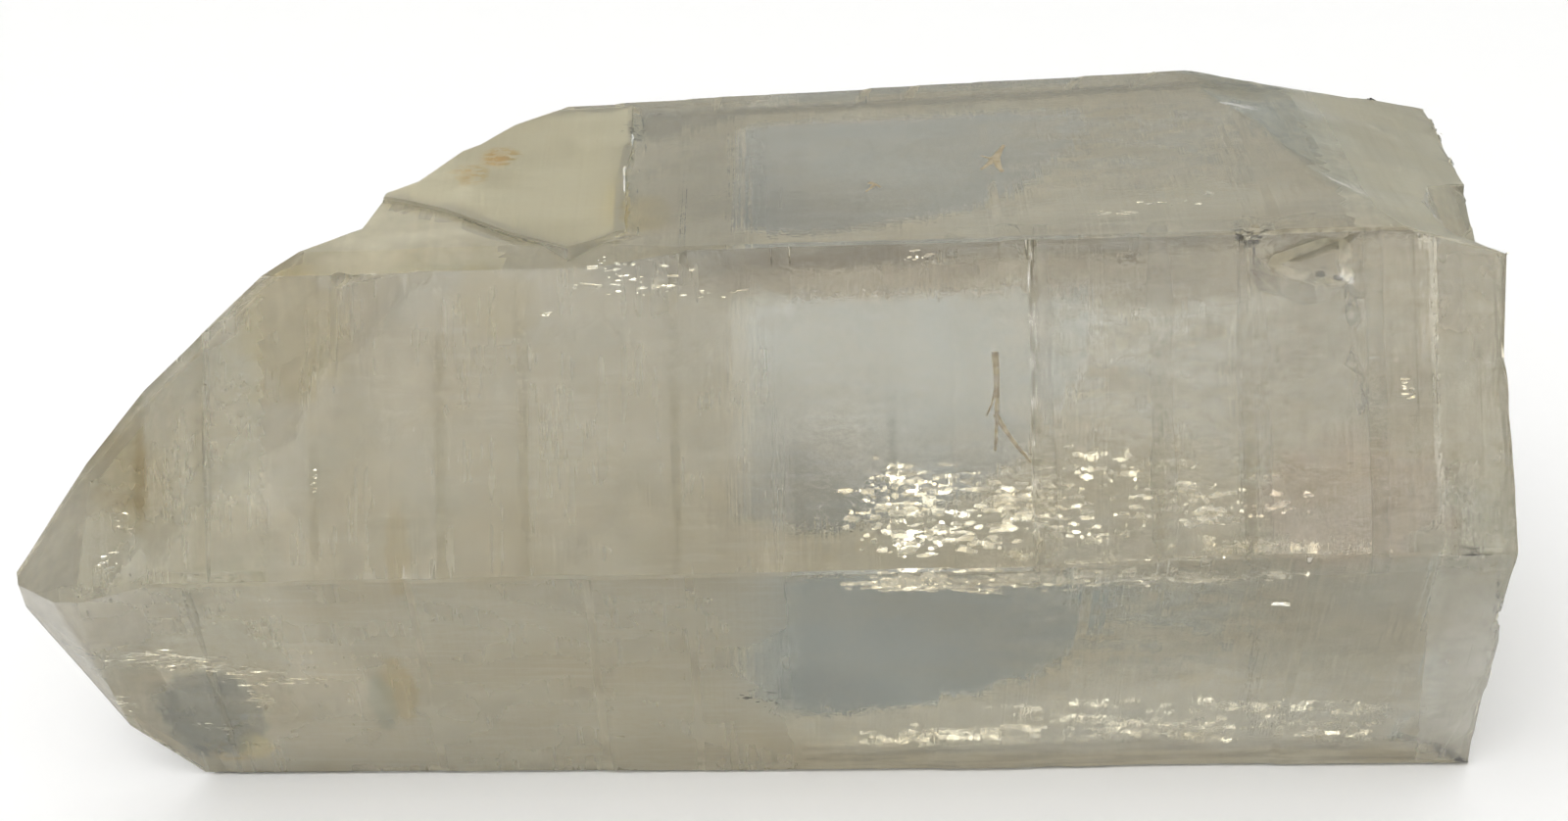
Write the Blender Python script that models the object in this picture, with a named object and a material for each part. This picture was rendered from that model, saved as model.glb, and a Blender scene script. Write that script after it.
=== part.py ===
"""Quartz crystal: one six-sided prism with a slanting natural point and a broken base.

The crystal lies on one prism face.  Its long axis (the c-axis of quartz) runs
along X, the point is towards -X and the broken base towards +X.  The body is
lofted through rings cut from the six prism faces, each face stepping outwards
in growth ledges across the axis.  The rhombohedral end faces, the stacked
growth layers on the big end face, the raised plate, the breaks, chips and
pits are then cut or grown on.  Dimensions are in metres, +Z is up.
"""

import math
import random
from dataclasses import dataclass

import bmesh
import bpy
from mathutils import Matrix, Vector, noise

MM = 0.001

# ---- the prism -------------------------------------------------------------
AXIS_HEIGHT = 21.0 * MM      # long axis above the face it rests on
BASE_X = 47.75 * MM          # broken end, measured from mid-length
BASE_LEAN = 2.1              # degrees the broken end leans back at the top
BASE_SKEW = 2.4              # degrees the broken end is turned, far side longer
TIP_MARGIN_X = -56.0 * MM    # the loft starts beyond the point
RHOMB_TILT = 38.2            # degrees between an end face's normal and across
STEP_RUN = 0.60 * MM         # length along X of one growth ledge's riser


@dataclass(frozen=True)
class PrismFace:
    """One prism face: where it looks, how far out it lies, how it tapers."""

    name: str
    azimuth: float           # degrees in the YZ plane, 0 = +Y, 90 = +Z
    distance: float          # from the long axis at mid-length
    taper: float             # degrees, the crystal thickens towards its base
    ledges: int              # number of growth ledges along the face
    stepped: float = 0.0     # share of the taper that comes in ledges


@dataclass(frozen=True)
class EndFace:
    """One rhombohedral face of the point."""

    name: str
    azimuth: float
    distance: float          # from the long axis at mid-length
    tilt: float = RHOMB_TILT


TOP = PrismFace("top", 90.0, 20.84 * MM, 1.53, 8, 0.22)
UPPER_FRONT = PrismFace("upper_front", 150.0, 23.03 * MM, 2.68, 14, 0.20)
LOWER_FRONT = PrismFace("lower_front", 208.0, 20.85 * MM, 1.50, 9, 0.25)
REST = PrismFace("rest", 270.0, AXIS_HEIGHT, 0.0, 0)
LOWER_BACK = PrismFace("lower_back", 330.0, 21.60 * MM, 1.60, 12, 0.40)
UPPER_BACK = PrismFace("upper_back", 30.0, 20.95 * MM, 2.60, 13, 0.45)
# Listed in turning order about the long axis.
PRISM = (UPPER_BACK, TOP, UPPER_FRONT, LOWER_FRONT, REST, LOWER_BACK)

# Worn ridge widths between each face and the next in PRISM.
RIDGE_WIDTH = (0.35 * MM, 0.35 * MM, 0.30 * MM, 0.75 * MM, 0.60 * MM, 0.40 * MM)
# The ridge between the top and the upper front is blunt towards the point.
BLUNT_WIDTH = 1.9 * MM
BLUNT_UNTIL_X = -12.0 * MM
BLUNT_FADE = 6.0 * MM

# One wide growth terrace on the lower front face: it lies proud on the
# point's side and slopes away to nothing over this stretch.
TERRACE_RISE = 0.38 * MM
TERRACE_X = (15.5 * MM, 24.5 * MM)

END_BACK = EndFace("end_back", 30.0, 19.00 * MM)
END_FRONT = EndFace("end_front", 147.3, 42.20 * MM, 35.0)
END_LOW_FRONT = EndFace("end_low_front", 212.2, 43.50 * MM, 36.0)
# Narrow steep faces soften the turn from the two front prism faces.
STEEP_FRONT = EndFace("steep_front", 150.0, 34.07 * MM, 20.0)
STEEP_LOW_FRONT = EndFace("steep_low_front", 208.0, 34.75 * MM, 20.0)
END_LOW_BACK = EndFace("end_low_back", 330.0, 18.20 * MM)
# The lower front of the point is a proud nose with its own steeper facet; the
# low back end face is set back behind it, from this riser plane on.
END_NOSE = EndFace("end_nose", 330.8, 33.30 * MM, 53.3)
TIP_WEAR = (-51.15 * MM, -19.0 * MM, 20.0 * MM)   # the very tip is worn off here
NOSE_BACK_Y = -7.0 * MM
NOSE_RISER_FACING = (-0.18, 0.97, -0.16)

# ---- stacked growth layers on the big back end face -------------------------
# Each layer stands proud of END_BACK; it begins at a riser line on the top.
LAYER_RISES = (2.8 * MM, 4.8 * MM, 6.1 * MM)
LAYER_STARTS = ((-27.7 * MM, -8.8 * MM), (-23.8 * MM, -0.3 * MM), (-19.2 * MM, 6.9 * MM))
LAYER_FACINGS = ((-0.93, 0.19, 0.33), (-0.84, 0.41, 0.37), (-0.78, 0.49, 0.38))

# ---- the raised matte plate on the top ---------------------------------------
PLATE_RISE = 0.38 * MM
PLATE_BACK_DROP = 0.020      # the plate thins towards the back, per metre of Y
PLATE_OUTLINE = (
    (-30.0 * MM, -3.2 * MM),
    (-25.4 * MM, -5.2 * MM),
    (-22.3 * MM, -7.2 * MM),
    (-17.6 * MM, -11.6 * MM),
    (-13.8 * MM, -14.2 * MM),
    (-9.2 * MM, -11.8 * MM),
    (-9.5 * MM, -2.0 * MM),
    (-9.1 * MM, 3.0 * MM),
    (-9.6 * MM, 10.4 * MM),
    (-24.0 * MM, 10.0 * MM),
    (-34.0 * MM, 2.0 * MM),
)

# ---- breakage ------------------------------------------------------------------
CORNER_BREAK_POINT = (30.5 * MM, 12.5 * MM, 42.30 * MM)
CORNER_BREAK_NORMAL = (0.245, 0.097, 0.965)
CORNER_RIPPLE = 0.28 * MM
BASE_RIPPLE = 0.34 * MM


@dataclass(frozen=True)
class Scoop:
    """A shell-shaped chip: a squashed ball that bites into the surface."""

    name: str
    centre: tuple
    radii: tuple
    turn: tuple = (0.0, 0.0, 0.0)


SCOOPS = (
    Scoop("corner_notch", (50.2 * MM, -8.6 * MM, 46.2 * MM), (9.5 * MM, 12.5 * MM, 9.4 * MM)),
    Scoop(
        "ridge_chip",
        (32.2 * MM, -19.4 * MM, 42.15 * MM),
        (9.0 * MM, 4.2 * MM, 3.0 * MM),
        (60.0, 0.0, 4.0),
    ),
    Scoop("ridge_nick", (30.3 * MM, -16.0 * MM, 43.4 * MM), (1.6 * MM, 1.4 * MM, 1.2 * MM)),
    Scoop("shoulder_pit", (-28.7 * MM, -14.9 * MM, 40.5 * MM), (1.3 * MM, 1.1 * MM, 1.3 * MM)),
    Scoop("base_nick", (47.4 * MM, -24.6 * MM, 17.6 * MM), (1.2 * MM, 2.6 * MM, 1.4 * MM)),
    Scoop("back_chip", (9.0 * MM, 26.2 * MM, 20.6 * MM), (3.4 * MM, 1.5 * MM, 2.4 * MM)),
    Scoop("back_base_break", (51.4 * MM, 15.5 * MM, -0.5 * MM), (5.4 * MM, 6.2 * MM, 4.6 * MM)),
)

QUARTZ_COLOUR = (0.40, 0.37, 0.29, 1.0)
EPS = 1e-7


# ---- small geometry helpers ------------------------------------------------------
def across(azimuth):
    """Unit (y, z) direction at an azimuth about the long axis."""
    angle = math.radians(azimuth)
    return math.cos(angle), math.sin(angle)


def end_plane(face, extra=0.0):
    """Normal and a point of a rhombohedral end face moved out by extra."""
    tilt = math.radians(face.tilt)
    side_y, side_z = across(face.azimuth)
    normal = Vector((-math.sin(tilt), math.cos(tilt) * side_y, math.cos(tilt) * side_z))
    point = Vector((0.0, 0.0, AXIS_HEIGHT)) + normal * (face.distance + extra)
    return point, normal


def meeting(azimuth_a, distance_a, azimuth_b, distance_b):
    """Where two face lines of one ring meet, as (y, z) from the axis."""
    ay, az = across(azimuth_a)
    by, bz = across(azimuth_b)
    det = ay * bz - az * by
    return (distance_a * bz - distance_b * az) / det, (ay * distance_b - by * distance_a) / det


# ---- the lofted prism ------------------------------------------------------------
class FaceProfile:
    """How far one prism face lies from the axis at each x."""

    def __init__(self, face, seed):
        self.face = face
        self.slope = math.tan(math.radians(face.taper))
        self.steps = self._place_steps(random.Random(seed))

    def _place_steps(self, dice):
        """Riser positions and heights that add up to the stepped share."""
        if not self.face.ledges:
            return []
        length = BASE_X - TIP_MARGIN_X
        pitch = length / self.face.ledges
        weights = [dice.uniform(0.4, 1.6) for _ in range(self.face.ledges)]
        total = self.slope * length * self.face.stepped
        steps = []
        for index, weight in enumerate(weights):
            start = TIP_MARGIN_X + (index + dice.uniform(0.2, 0.8)) * pitch
            steps.append((start, total * weight / sum(weights)))
        return steps

    def stations(self):
        """The x positions where this face bends."""
        found = []
        for start, _ in self.steps:
            found += [start, start + STEP_RUN]
        if self.face is LOWER_FRONT:
            found += list(TERRACE_X)
        return found

    def distance(self, x):
        """Distance from the axis at x."""
        middle = sum(rise for start, rise in self.steps if start < 0.0)
        value = self.face.distance - middle + self.slope * (1.0 - self.face.stepped) * x
        for start, rise in self.steps:
            value += rise * min(1.0, max(0.0, (x - start) / STEP_RUN))
        if self.face is LOWER_FRONT:
            first, last = TERRACE_X
            value += TERRACE_RISE * min(1.0, max(0.0, (last - x) / (last - first)))
        return value


def ridge_width(index, x):
    """Width of the worn strip after prism face `index` at x."""
    width = RIDGE_WIDTH[index]
    if PRISM[index] is TOP:
        share = min(1.0, max(0.0, (BLUNT_UNTIL_X + BLUNT_FADE - x) / BLUNT_FADE))
        width += (BLUNT_WIDTH - width) * share
    return width


def ring_corners(profiles, x):
    """The ring at x: two corners at each worn ridge, in turning order."""
    corners = []
    for index, profile in enumerate(profiles):
        after = profiles[(index + 1) % len(profiles)]
        here = (profile.face.azimuth, profile.distance(x))
        there = (after.face.azimuth, after.distance(x))
        ridge = meeting(*here, *there)
        middle = here[0] + 30.0 if there[0] > here[0] else (here[0] + there[0] + 360.0) / 2.0
        way = across(middle)
        reach = ridge[0] * way[0] + ridge[1] * way[1]
        worn = (middle, reach - ridge_width(index, x) / (2.0 * math.sqrt(3.0)))
        corners.append(meeting(*here, *worn))
        corners.append(meeting(*worn, *there))
    return [Vector((x, y, z + AXIS_HEIGHT)) for y, z in corners]


def station_list(profiles):
    """All x stations of the loft, close doubles dropped."""
    wanted = [BLUNT_UNTIL_X, BLUNT_UNTIL_X + BLUNT_FADE]
    for profile in profiles:
        wanted += profile.stations()
    kept = [TIP_MARGIN_X]
    for x in sorted(wanted):
        if x - kept[-1] > 0.06 * MM and BASE_X + 2.0 * MM - x > 0.3 * MM:
            kept.append(x)
    return kept + [BASE_X + 3.0 * MM]


def loft_prism():
    """The tapering, ledged hexagonal prism as a closed bmesh."""
    profiles = [FaceProfile(face, 7 + 13 * index) for index, face in enumerate(PRISM)]
    bm = bmesh.new()
    rings = []
    for x in station_list(profiles):
        rings.append([bm.verts.new(corner) for corner in ring_corners(profiles, x)])
    for left, right in zip(rings, rings[1:]):
        for k in range(len(left)):
            following = (k + 1) % len(left)
            bm.faces.new((left[k], left[following], right[following], right[k]))
    bm.faces.new(list(reversed(rings[0])))
    bm.faces.new(rings[-1])
    bmesh.ops.recalc_face_normals(bm, faces=bm.faces)
    return bm


def slice_off(bm, point, normal):
    """Cut a convex closed bmesh by a plane, keep the inner side, cap it."""
    geometry = bm.verts[:] + bm.edges[:] + bm.faces[:]
    cut = bmesh.ops.bisect_plane(
        bm, geom=geometry, dist=EPS, plane_co=point, plane_no=normal, clear_outer=True
    )
    rim = [item for item in cut["geom_cut"] if isinstance(item, bmesh.types.BMEdge)]
    if rim:
        bmesh.ops.holes_fill(bm, edges=rim, sides=0)
        bmesh.ops.recalc_face_normals(bm, faces=bm.faces)


# ---- solids that cut or join -------------------------------------------------------
def new_object(name, bm, tool=False):
    """Turn a bmesh into a scene object; tools are hidden and drawn as wire."""
    bmesh.ops.triangulate(bm, faces=bm.faces)
    mesh = bpy.data.meshes.new(name)
    bm.to_mesh(mesh)
    bm.free()
    obj = bpy.data.objects.new(name, mesh)
    bpy.context.scene.collection.objects.link(obj)
    if tool:
        obj.hide_render = True
        obj.display_type = "WIRE"
    return obj


def convex_block(planes, size=200.0 * MM):
    """A closed block: a big cube kept on the inner side of each plane."""
    bm = bmesh.new()
    bmesh.ops.create_cube(bm, size=size)
    for point, normal in planes:
        slice_off(bm, point, normal)
    return bm


def relief_block(centre, outward, half, depth, cells, height):
    """A block whose inner face is a fractured surface.

    The block lies on the outward side of a plane through `centre`; the inner
    face is a grid moved along `outward` by height(u, v).
    """
    normal = Vector(outward).normalized()
    side = normal.orthogonal().normalized() if abs(normal.z) > 0.9 else normal.cross((0, 0, 1))
    side.normalize()
    up = normal.cross(side).normalized()
    bm = bmesh.new()
    count = cells + 1
    inner = []
    outer = []
    for row in range(count):
        for col in range(count):
            u = half * (2.0 * col / cells - 1.0)
            v = half * (2.0 * row / cells - 1.0)
            spot = Vector(centre) + side * u + up * v
            inner.append(bm.verts.new(spot + normal * height(u, v)))
            outer.append(bm.verts.new(spot + normal * depth))
    for row in range(cells):
        for col in range(cells):
            a = row * count + col
            b, c, d = a + 1, a + count + 1, a + count
            bm.faces.new((inner[a], inner[b], inner[c], inner[d]))
            bm.faces.new((outer[d], outer[c], outer[b], outer[a]))
    for k in range(cells):
        last = cells * count
        for a, b in ((k, k + 1), (last + k + 1, last + k)):
            bm.faces.new((inner[b], inner[a], outer[a], outer[b]))
        for a, b in (((k + 1) * count, k * count), (k * count + cells, (k + 1) * count + cells)):
            bm.faces.new((inner[b], inner[a], outer[a], outer[b]))
    bmesh.ops.recalc_face_normals(bm, faces=bm.faces)
    return bm


def squashed_ball(scoop):
    """The cutter of one scoop."""
    bm = bmesh.new()
    bmesh.ops.create_icosphere(bm, subdivisions=2, radius=1.0)
    for vert in bm.verts:
        vert.co *= 1.0 + 0.07 * noise.noise(vert.co * 2.3 + Vector(scoop.centre) * 900.0)
    turn = Matrix.LocRotScale(None, None, None)
    for axis, degrees in zip("XYZ", scoop.turn):
        turn = Matrix.Rotation(math.radians(degrees), 4, axis) @ turn
    place = Matrix.Translation(scoop.centre) @ turn @ Matrix.Diagonal((*scoop.radii, 1.0))
    bmesh.ops.transform(bm, matrix=place, verts=bm.verts)
    return bm


def combine(body, tool, operation):
    """Apply one exact Boolean to the body and take the tool away."""
    modifier = body.modifiers.new(tool.name, "BOOLEAN")
    modifier.operation = operation
    modifier.solver = "EXACT"
    modifier.object = tool
    evaluated = body.evaluated_get(bpy.context.evaluated_depsgraph_get())
    mesh = bpy.data.meshes.new_from_object(evaluated)
    body.modifiers.remove(modifier)
    old = body.data
    body.data = mesh
    bpy.data.meshes.remove(old)
    bpy.data.objects.remove(tool, do_unlink=True)


# ---- the features ---------------------------------------------------------------------
def shell_ripple(u, v, scale, focus, pitch, seed):
    """Height of a shell-like fracture: arcs about a focus and slow swells."""
    reach = math.hypot(u - focus[0], v - focus[1])
    arcs = 0.35 * math.sin(reach / pitch * 2.0 * math.pi)
    swell = noise.noise(Vector((u / (9.0 * MM), v / (9.0 * MM), seed)))
    rough = 0.45 * noise.noise(Vector((u / (3.1 * MM), v / (3.1 * MM), seed + 5.0)))
    return scale * (arcs + swell + rough)


def cut_point(bm):
    """Shape the natural point with its four end faces and their worn edges."""
    faces = (STEEP_FRONT, STEEP_LOW_FRONT, END_FRONT, END_LOW_FRONT, END_NOSE)
    outermost = LAYER_RISES[-1]
    planes = {face.name: end_plane(face) for face in faces}
    planes["end_back"] = end_plane(END_BACK, outermost)
    planes["tip_wear"] = (Vector(TIP_WEAR), Vector((-0.97, -0.18, -0.05)).normalized())
    for point, normal in planes.values():
        slice_off(bm, point, normal)


def cut_growth_layers(body):
    """Step the big back end face down towards the front in three risers."""
    levels = (0.0,) + LAYER_RISES[:-1]
    for index, (level, start) in enumerate(zip(levels, LAYER_STARTS)):
        level_point, level_normal = end_plane(END_BACK, level)
        riser_point = Vector((start[0], start[1], top_height(start[0])))
        facing = Vector(LAYER_FACINGS[index]).normalized()
        block = convex_block(((level_point, -level_normal), (riser_point, -facing)))
        combine(body, new_object(f"layer_riser_{index}", block, tool=True), "DIFFERENCE")


def cut_low_back(body):
    """Set the low back end face behind the nose."""
    level_point, level_normal = end_plane(END_LOW_BACK)
    riser_point = Vector((-30.0 * MM, NOSE_BACK_Y, 6.0 * MM))
    facing = Vector(NOSE_RISER_FACING).normalized()
    block = convex_block(((level_point, -level_normal), (riser_point, -facing)))
    combine(body, new_object("low_back_cut", block, tool=True), "DIFFERENCE")


def top_height(x):
    """Height of the top face at x, from its taper alone."""
    return AXIS_HEIGHT + TOP.distance + math.tan(math.radians(TOP.taper)) * x


def grow_plate(body):
    """The thin raised plate left on the top behind the point."""
    bm = bmesh.new()
    low = []
    high = []
    for x, y in PLATE_OUTLINE:
        low.append(bm.verts.new((x, y, top_height(x) - 4.0 * MM)))
        ragged = 0.12 * MM * noise.noise(Vector((x, y, 0.0)) * 400.0)
        rise = PLATE_RISE + ragged - PLATE_BACK_DROP * max(0.0, y)
        high.append(bm.verts.new((x, y, top_height(x) + rise)))
    count = len(low)
    for k in range(count):
        nxt = (k + 1) % count
        bm.faces.new((low[k], low[nxt], high[nxt], high[k]))
    bm.faces.new(list(reversed(low)))
    bm.faces.new(high)
    bmesh.ops.recalc_face_normals(bm, faces=bm.faces)
    for point, normal in (end_plane(END_BACK, LAYER_RISES[-1] - 0.3 * MM),):
        slice_off(bm, point, normal)
    combine(body, new_object("plate", bm, tool=True), "UNION")


def break_base(body):
    """The broken end: nearly flat across the axis with a shell-like ripple."""
    focus = (9.0 * MM, 14.0 * MM)

    def height(u, v):
        return shell_ripple(u, v, BASE_RIPPLE, focus, 11.0 * MM, 3.0)

    lean = math.radians(BASE_LEAN)
    skew = math.radians(BASE_SKEW)
    outward = (math.cos(lean), -math.sin(skew), math.sin(lean))
    block = relief_block((BASE_X, 0.0, AXIS_HEIGHT), outward, 32.0 * MM, 12.0 * MM, 22, height)
    combine(body, new_object("base_break", block, tool=True), "DIFFERENCE")


def break_corner(body):
    """The sloping break where the top meets the broken base."""
    focus = (-6.0 * MM, -3.0 * MM)

    def height(u, v):
        return shell_ripple(u, v, CORNER_RIPPLE, focus, 7.5 * MM, 11.0)

    normal = Vector(CORNER_BREAK_NORMAL).normalized()
    centre = Vector(CORNER_BREAK_POINT) + Vector((12.0 * MM, -8.0 * MM, 0.0))
    centre -= normal * (centre - Vector(CORNER_BREAK_POINT)).dot(normal)
    block = relief_block(centre, normal, 26.0 * MM, 14.0 * MM, 22, height)
    combine(body, new_object("corner_break", block, tool=True), "DIFFERENCE")


def seat(body):
    """Centre the crystal over the origin in X and Y, resting on z = 0."""
    mesh = body.data
    xs = [v.co.x for v in mesh.vertices]
    ys = [v.co.y for v in mesh.vertices]
    zs = [v.co.z for v in mesh.vertices]
    shift = Vector((-(min(xs) + max(xs)) / 2.0, -(min(ys) + max(ys)) / 2.0, -min(zs)))
    mesh.transform(Matrix.Translation(shift))
    mesh.update()


def quartz_material():
    """Pale grey-beige see-through quartz."""
    material = bpy.data.materials.new("quartz")
    material.use_nodes = True
    shader = material.node_tree.nodes["Principled BSDF"]
    shader.inputs["Base Color"].default_value = QUARTZ_COLOUR
    shader.inputs["Roughness"].default_value = 0.12
    shader.inputs["Metallic"].default_value = 0.0
    shader.inputs["IOR"].default_value = 1.544
    shader.inputs["Transmission Weight"].default_value = 0.8
    material.diffuse_color = QUARTZ_COLOUR
    return material


def clear_scene():
    """Remove whatever the scene holds."""
    for obj in list(bpy.data.objects):
        bpy.data.objects.remove(obj, do_unlink=True)


def main():
    """Build the crystal."""
    clear_scene()
    bm = loft_prism()
    cut_point(bm)
    body = new_object("quartz_crystal", bm)
    grow_plate(body)
    cut_growth_layers(body)
    cut_low_back(body)
    break_base(body)
    break_corner(body)
    for scoop in SCOOPS:
        combine(body, new_object(scoop.name, squashed_ball(scoop), tool=True), "DIFFERENCE")
    seat(body)
    body.data.materials.clear()
    body.data.materials.append(quartz_material())


main()
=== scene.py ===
"""Finish and studio for a natural quartz crystal lying on a prism face.

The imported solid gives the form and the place. This script replaces it by a clear crystal with fine
relief on its faces, and sets inner veils, sparkling fracture flakes and a few mineral needles inside.
Lengths in the tables are in millimetres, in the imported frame: +X runs from the point to the broken
base, -Y is the front and +Z is up.
"""

import logging
import math
import random
from dataclasses import dataclass, field
from enum import Enum
from typing import Callable, Sequence, Union

import bmesh
import bpy
from mathutils import Euler, Matrix, Vector
from mathutils.bvhtree import BVHTree

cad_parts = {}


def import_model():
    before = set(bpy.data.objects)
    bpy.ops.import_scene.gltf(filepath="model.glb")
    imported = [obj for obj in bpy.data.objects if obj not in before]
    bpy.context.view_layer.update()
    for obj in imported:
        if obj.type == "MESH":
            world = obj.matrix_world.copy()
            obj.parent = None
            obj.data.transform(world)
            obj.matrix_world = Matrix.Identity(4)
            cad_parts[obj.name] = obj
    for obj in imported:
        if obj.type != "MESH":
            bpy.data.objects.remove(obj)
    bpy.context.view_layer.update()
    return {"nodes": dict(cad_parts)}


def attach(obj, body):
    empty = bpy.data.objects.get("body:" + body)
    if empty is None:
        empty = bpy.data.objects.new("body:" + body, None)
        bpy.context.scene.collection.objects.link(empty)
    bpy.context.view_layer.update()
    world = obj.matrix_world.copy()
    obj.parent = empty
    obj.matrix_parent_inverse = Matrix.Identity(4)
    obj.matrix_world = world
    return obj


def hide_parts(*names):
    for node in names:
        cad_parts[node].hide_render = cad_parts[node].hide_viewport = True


LOG = logging.getLogger("quartz_crystal")

MM = 0.001
PATTERN_STEP = (7.3, 3.1, 5.7)
NODE = "quartz_crystal"

Triple = tuple[float, float, float]
Colour = tuple[float, float, float]


def hue(red: float, green: float, blue: float) -> Colour:
    """A linear colour from display values of 0 to 255."""
    return tuple((value / 255.0) ** 2.2 for value in (red, green, blue))


class Face(Enum):
    """The prism faces that are told apart, each by its turn around the long axis in degrees from +Y."""

    UPPER_FRONT = 150.0
    LOWER_FRONT = 208.0
    LOWER_BACK = 330.0

    @property
    def outward(self) -> Vector:
        """The face's direction as a unit vector, with its slight taper left out."""
        turn = math.radians(self.value)
        return Vector((0.0, math.cos(turn), math.sin(turn)))


# --------------------------------------------------------------------------- shader sums


class Value:
    """A number socket of a shader that takes part in Python sums."""

    def __init__(self, recipe: "Recipe", socket: bpy.types.NodeSocket) -> None:
        """Keeps the recipe it belongs to and its output socket."""
        self.recipe = recipe
        self.socket = socket

    def _sum(self, operation: str, *terms: "Number") -> "Value":
        """Adds a Math node.

        Args:
            operation: the Math node's operation.
            terms: its inputs, in order.

        Returns:
            The node's result.
        """
        node = self.recipe.node("ShaderNodeMath", {"operation": operation}, dict(enumerate(terms)))
        return Value(self.recipe, node.outputs[0])

    def __add__(self, other: "Number") -> "Value":
        """Self plus other."""
        return self._sum("ADD", self, other)

    def __radd__(self, other: "Number") -> "Value":
        """Other plus self."""
        return self._sum("ADD", other, self)

    def __sub__(self, other: "Number") -> "Value":
        """Self less other."""
        return self._sum("SUBTRACT", self, other)

    def __rsub__(self, other: "Number") -> "Value":
        """Other less self."""
        return self._sum("SUBTRACT", other, self)

    def __mul__(self, other: "Number") -> "Value":
        """Self times other."""
        return self._sum("MULTIPLY", self, other)

    def __rmul__(self, other: "Number") -> "Value":
        """Other times self."""
        return self._sum("MULTIPLY", other, self)

    def __abs__(self) -> "Value":
        """The size of self."""
        return self._sum("ABSOLUTE", self)

    def or_more(self, other: "Number") -> "Value":
        """The larger of self and other."""
        return self._sum("MAXIMUM", self, other)

    def rise(self, low: float, high: float) -> "Value":
        """A smooth step from 0 at low to 1 at high, or the other way round where low is above high.

        Args:
            low: where the step starts.
            high: where the step ends.

        Returns:
            The step's value.
        """
        settings = {"interpolation_type": "SMOOTHSTEP"}
        turned = low > high
        first, last = (high, low) if turned else (low, high)
        inputs = {0: self, 1: first, 2: last, 3: 1.0 if turned else 0.0, 4: 0.0 if turned else 1.0}
        node = self.recipe.node("ShaderNodeMapRange", settings, inputs)
        return Value(self.recipe, node.outputs[0])


Number = Union[Value, float, int]
Anything = Union[Value, bpy.types.NodeSocket, float, int, Sequence[float], str]


@dataclass(frozen=True)
class Pattern:
    """Soft noise: repeats for each mm along X, Y and Z, its detail and which noise of that kind it is."""

    scale: Triple
    detail: float = 2.0
    shift: float = 0.0


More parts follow.
